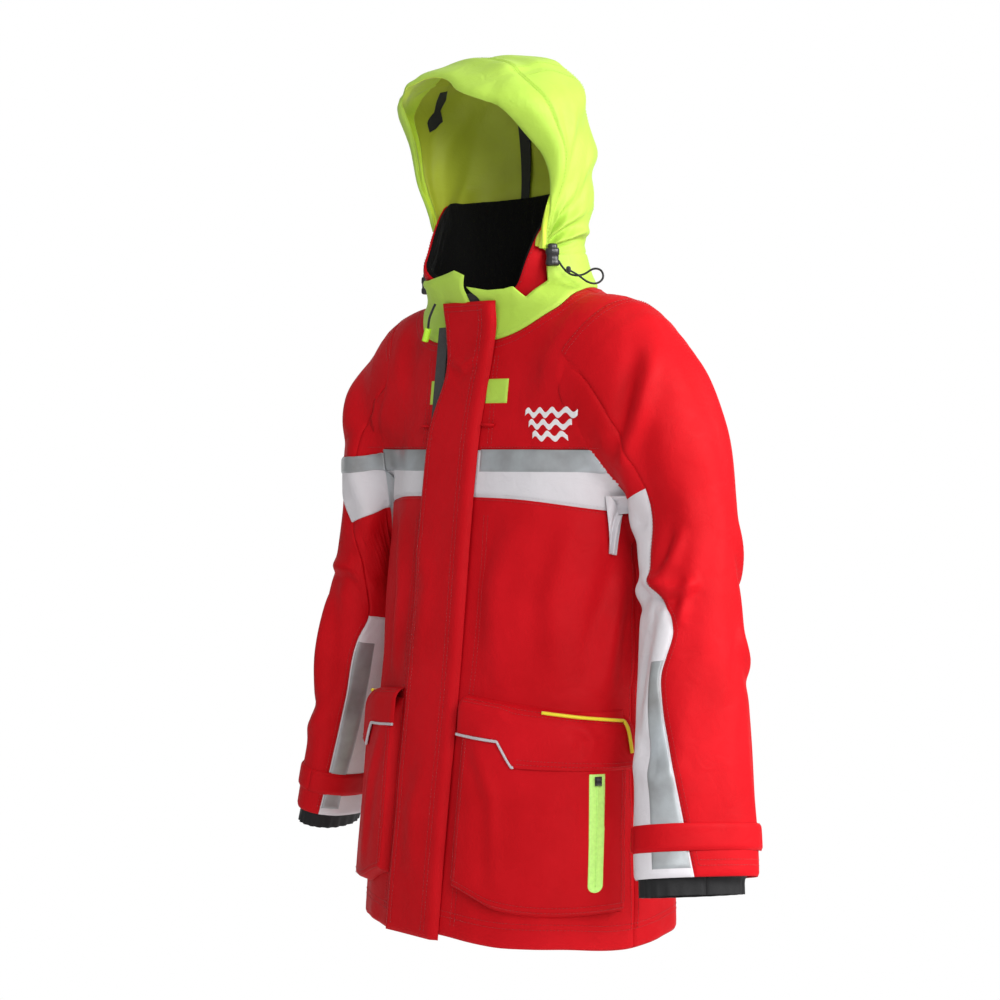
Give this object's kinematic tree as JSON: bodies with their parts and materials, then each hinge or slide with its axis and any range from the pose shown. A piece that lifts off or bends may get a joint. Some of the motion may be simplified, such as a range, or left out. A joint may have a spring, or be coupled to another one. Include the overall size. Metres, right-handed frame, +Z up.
{
  "type": "foul weather jacket",
  "caption": "Hooded sailing jacket as worn: storm flap over a zip, flapped cargo pockets, high collar, reflective bands and adjustable cuffs.",
  "frame": {"origin": "centre of the neck opening, at the level of the hanging loop, where the jacket hangs on the wearer or a hanger", "axes": "+Z up, -Y the front, +X the wearer's left"},
  "size_m": [0.7654, 0.3234, 1.039],
  "materials": {
    "black_tape": "matte",
    "cord": "matte",
    "fleece": "matte",
    "lining": "satin",
    "lock_plastic": "satin",
    "neon_rubber": "matte",
    "neon_shell": "matte",
    "neon_zip": "satin",
    "piping": "satin",
    "reflective": "satin",
    "shell_red": "matte",
    "spring_steel": "satin",
    "white_panel": "matte",
    "zip_plastic": "satin"
  },
  "bodies": {
    "jacket": {"chest_panel_left": "shell_red", "chest_panel_right": "shell_red", "front_panel_left": "shell_red", "front_panel_right": "shell_red", "chest_band_left": "white_panel", "chest_band_right": "white_panel", "shoulder_cap_left": "shell_red", "shoulder_cap_right": "shell_red", "pocket_left": "shell_red", "pocket_right": "shell_red", "reflective_tape_front": "reflective", "zip_tapes": "black_tape", "zip_teeth": "zip_plastic", "pocket_zip_strips": "neon_zip", "chest_patches": "neon_shell", "lanyard_loops": "shell_red", "back_yoke": "shell_red", "back_panel": "shell_red", "back_band": "white_panel", "neck_band": "neon_shell", "reflective_tape_back": "reflective", "collar_shell": "shell_red", "collar_fleece": "fleece", "zip_end_box": "zip_plastic", "flap_loop_strip": "black_tape", "hanging_loop": "black_tape", "neck_cord_right": "cord", "neck_cord_end_right": "neon_rubber", "cord_lock_body_left": "lock_plastic", "cord_lock_body_right": "lock_plastic", "lock_spring_left": "spring_steel", "lock_spring_right": "spring_steel", "hood_cord_left": "cord"},
    "hood": {"hood_shell": "neon_shell", "hood_brim": "neon_shell", "hood_lining": "lining", "hood_volume_strap": "black_tape", "hood_peak_tab": "black_tape"},
    "storm_flap": {"storm_flap": "shell_red", "flap_hook_strip": "black_tape"},
    "zip_slider": {"zip_slider": "zip_plastic"},
    "zip_pull": {"zip_pull": "zip_plastic"},
    "sleeve_left": {"sleeve_left": "shell_red", "sleeve_gusset_left": "white_panel", "sleeve_reflective_strip_left": "reflective", "inner_cuff_left": "black_tape"},
    "cuff_tab_left": {"cuff_tab_left": "shell_red"},
    "pocket_flap_left": {"pocket_flap_left": "shell_red", "pocket_flap_piping_left": "piping"},
    "pocket_zip_slider_left": {"pocket_zip_slider_left": "neon_zip"},
    "lock_button_left": {"lock_button_left": "lock_plastic"},
    "sleeve_right": {"sleeve_right": "shell_red", "sleeve_gusset_right": "white_panel", "sleeve_reflective_strip_right": "reflective", "inner_cuff_right": "black_tape"},
    "cuff_tab_right": {"cuff_tab_right": "shell_red"},
    "pocket_flap_right": {"pocket_flap_right": "shell_red", "pocket_flap_piping_right": "piping"},
    "pocket_zip_slider_right": {"pocket_zip_slider_right": "neon_zip"},
    "lock_button_right": {"lock_button_right": "lock_plastic"}
  },
  "joints": [
    {"name": "storm_flap_open", "type": "hinge", "parent": "jacket", "child": "storm_flap", "pos_m": [0.0465, -0.13125, -0.39909], "axis": [0, 0.1069, 0.9943], "range_deg": [0, 125]},
    {"name": "front_zip", "type": "slide", "parent": "jacket", "child": "zip_slider", "axis": [0, -0.1069, -0.9943], "range_m": [0, 0.655]},
    {"name": "zip_pull_swing", "type": "hinge", "parent": "zip_slider", "child": "zip_pull", "pos_m": [0, -0.08639, -0.05382], "axis": [-1, 0, 0], "range_deg": [0, 8]},
    {"name": "hood_fold", "type": "hinge", "parent": "jacket", "child": "hood", "pos_m": [0, 0.058, 0.032], "axis": [-1, 0, 0], "range_deg": [0, 80]},
    {"name": "sleeve_left_raise", "type": "hinge", "parent": "jacket", "child": "sleeve_left", "pos_m": [0.205, 0, -0.12], "axis": [0, -1, 0], "range_deg": [0, 45]},
    {"name": "cuff_tab_left_open", "type": "hinge", "parent": "sleeve_left", "child": "cuff_tab_left", "pos_m": [0.29673, -0.09931, -0.61892], "axis": [0.2053, -0.1202, -0.9713], "range_deg": [0, 100]},
    {"name": "pocket_flap_left_lift", "type": "hinge", "parent": "jacket", "child": "pocket_flap_left", "pos_m": [0.17233, -0.10169, -0.482], "axis": [-0.743, -0.6693, 0], "range_deg": [0, 40]},
    {"name": "pocket_zip_left", "type": "slide", "parent": "jacket", "child": "pocket_zip_slider_left", "axis": [0.0503, 0, -0.9987], "range_m": [0, 0.108]},
    {"name": "lock_button_left_press", "type": "slide", "parent": "jacket", "child": "lock_button_left", "axis": [0, 0, -1], "range_m": [0, 0.004], "stiffness_N_per_m": 400, "springref_m": -0.001, "deforming": ["lock_spring_left"]},
    {"name": "sleeve_right_raise", "type": "hinge", "parent": "jacket", "child": "sleeve_right", "pos_m": [-0.205, 0, -0.12], "axis": [0, 1, 0], "range_deg": [0, 45]},
    {"name": "cuff_tab_right_open", "type": "hinge", "parent": "sleeve_right", "child": "cuff_tab_right", "pos_m": [-0.29673, -0.09931, -0.61892], "axis": [0.2053, 0.1202, 0.9713], "range_deg": [0, 100]},
    {"name": "pocket_flap_right_lift", "type": "hinge", "parent": "jacket", "child": "pocket_flap_right", "pos_m": [-0.17233, -0.10169, -0.482], "axis": [-0.743, 0.6693, 0], "range_deg": [0, 40]},
    {"name": "pocket_zip_right", "type": "slide", "parent": "jacket", "child": "pocket_zip_slider_right", "axis": [-0.0503, 0, -0.9987], "range_m": [0, 0.108]},
    {"name": "lock_button_right_press", "type": "slide", "parent": "jacket", "child": "lock_button_right", "axis": [0, 0, -1], "range_m": [0, 0.004], "stiffness_N_per_m": 400, "springref_m": -0.001, "deforming": ["lock_spring_right"]}
  ]
}
